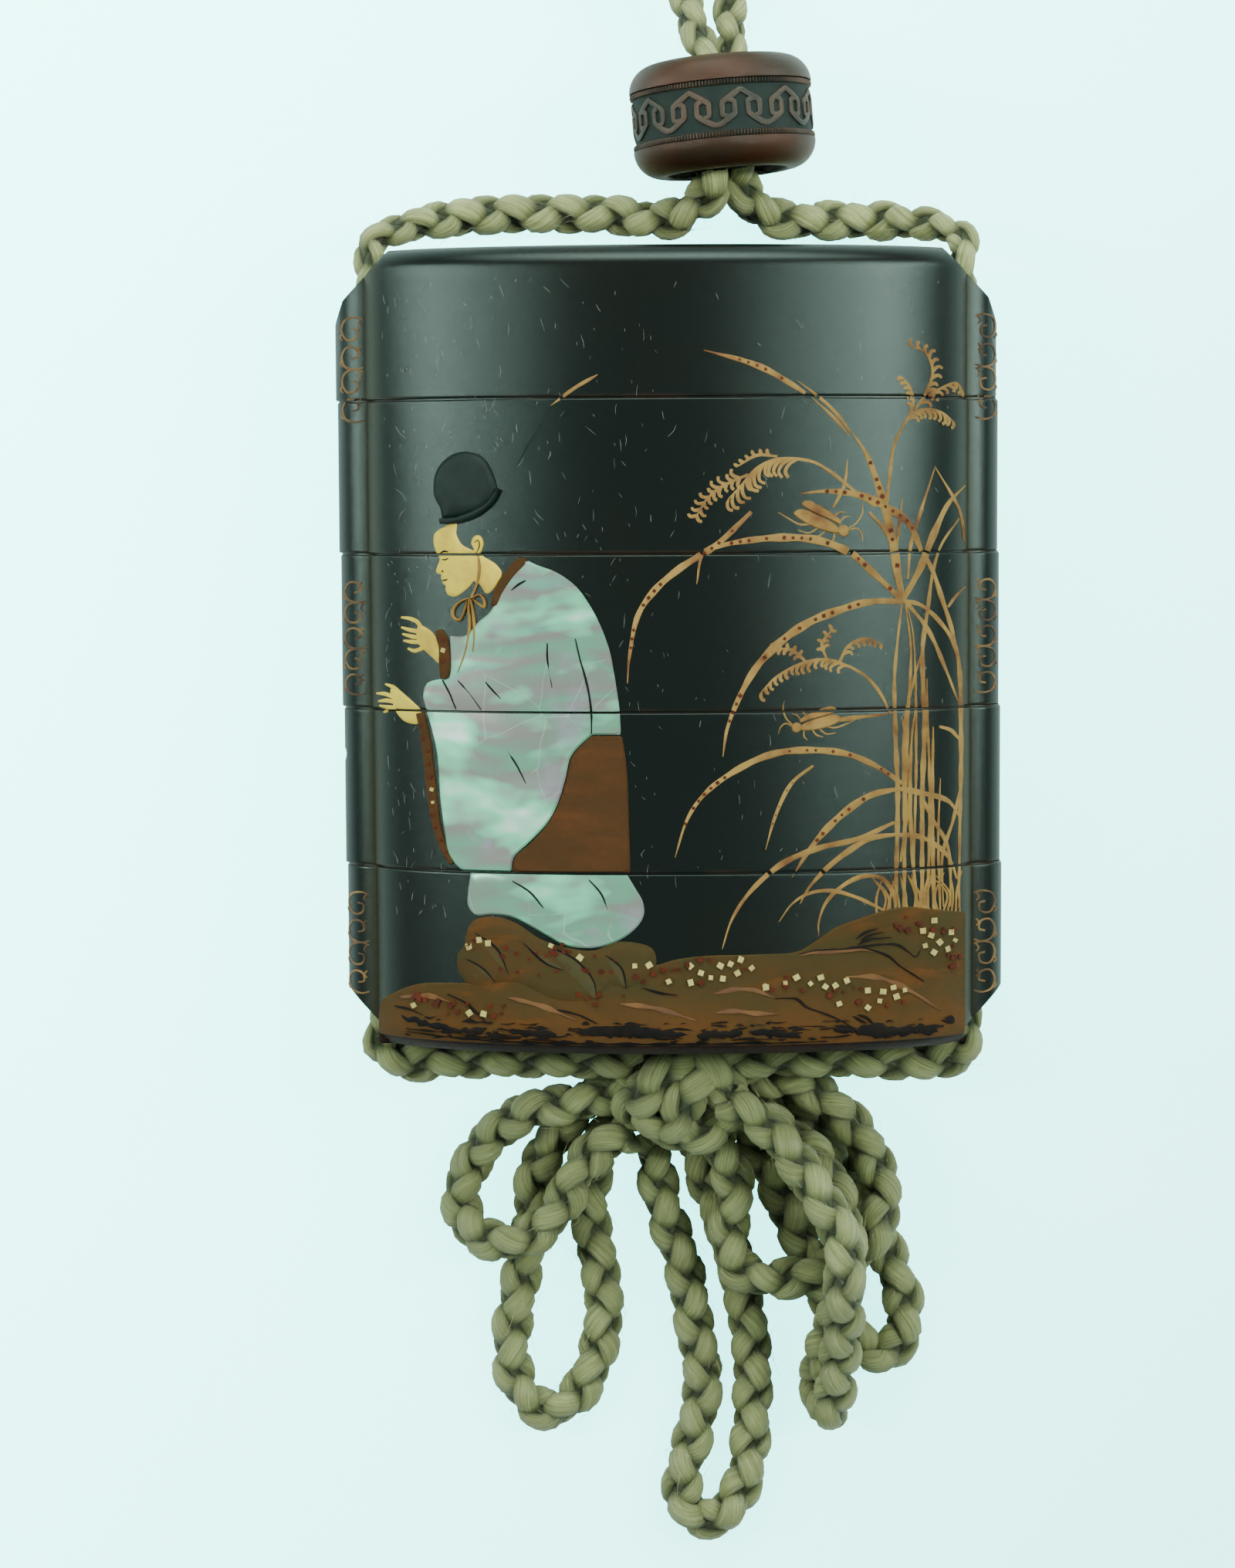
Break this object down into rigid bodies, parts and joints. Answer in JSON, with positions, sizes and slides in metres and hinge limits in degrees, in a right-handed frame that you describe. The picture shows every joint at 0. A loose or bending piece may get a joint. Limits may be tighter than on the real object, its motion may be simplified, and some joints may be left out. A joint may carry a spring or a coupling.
{
  "type": "inro case",
  "caption": "Lacquered inro with a lift-off lid and stacked trays on a silk cord, tied in a bow below, with a metal bead above and raised gold and pearl decoration",
  "frame": {"origin": "centre of the case's length and width, on the surface that its back lies on, with the cord left out", "axes": "+X across the case to the right seen from the front, +Y to the top of the case, +Z out of its front"},
  "size_m": [0.0612, 0.1936, 0.0232],
  "materials": {
    "lacquer": "black lacquer over wood, polished, worn and lightly scratched",
    "gold_decor": "sprinkled gold powder in raised lacquer, rubbed to brown at its edges",
    "pearl_inlay": "mother-of-pearl, green and pink sheen, finely cracked",
    "bead_metal": "patinated copper with a darker fret band between milled rings",
    "silk_cord": "plaited silk, sage green, soft sheen and loose fibres"
  },
  "bodies": {
    "root": {"lid": "lacquer", "tray_1": "lacquer", "tray_2": "lacquer", "tray_3": "lacquer", "tray_4": "lacquer", "ojime_bead": "bead_metal", "cord_left_strand": "silk_cord", "cord_right_strand": "silk_cord", "cord_coil": "silk_cord", "cord_knot": "silk_cord", "cord_bow_upper_left": "silk_cord", "cord_bow_lower_left": "silk_cord", "cord_bow_middle": "silk_cord", "cord_bow_small_ring": "silk_cord", "cord_bow_lower_right": "silk_cord", "cord_bow_upper_right": "silk_cord"}
  },
  "joints": []
}
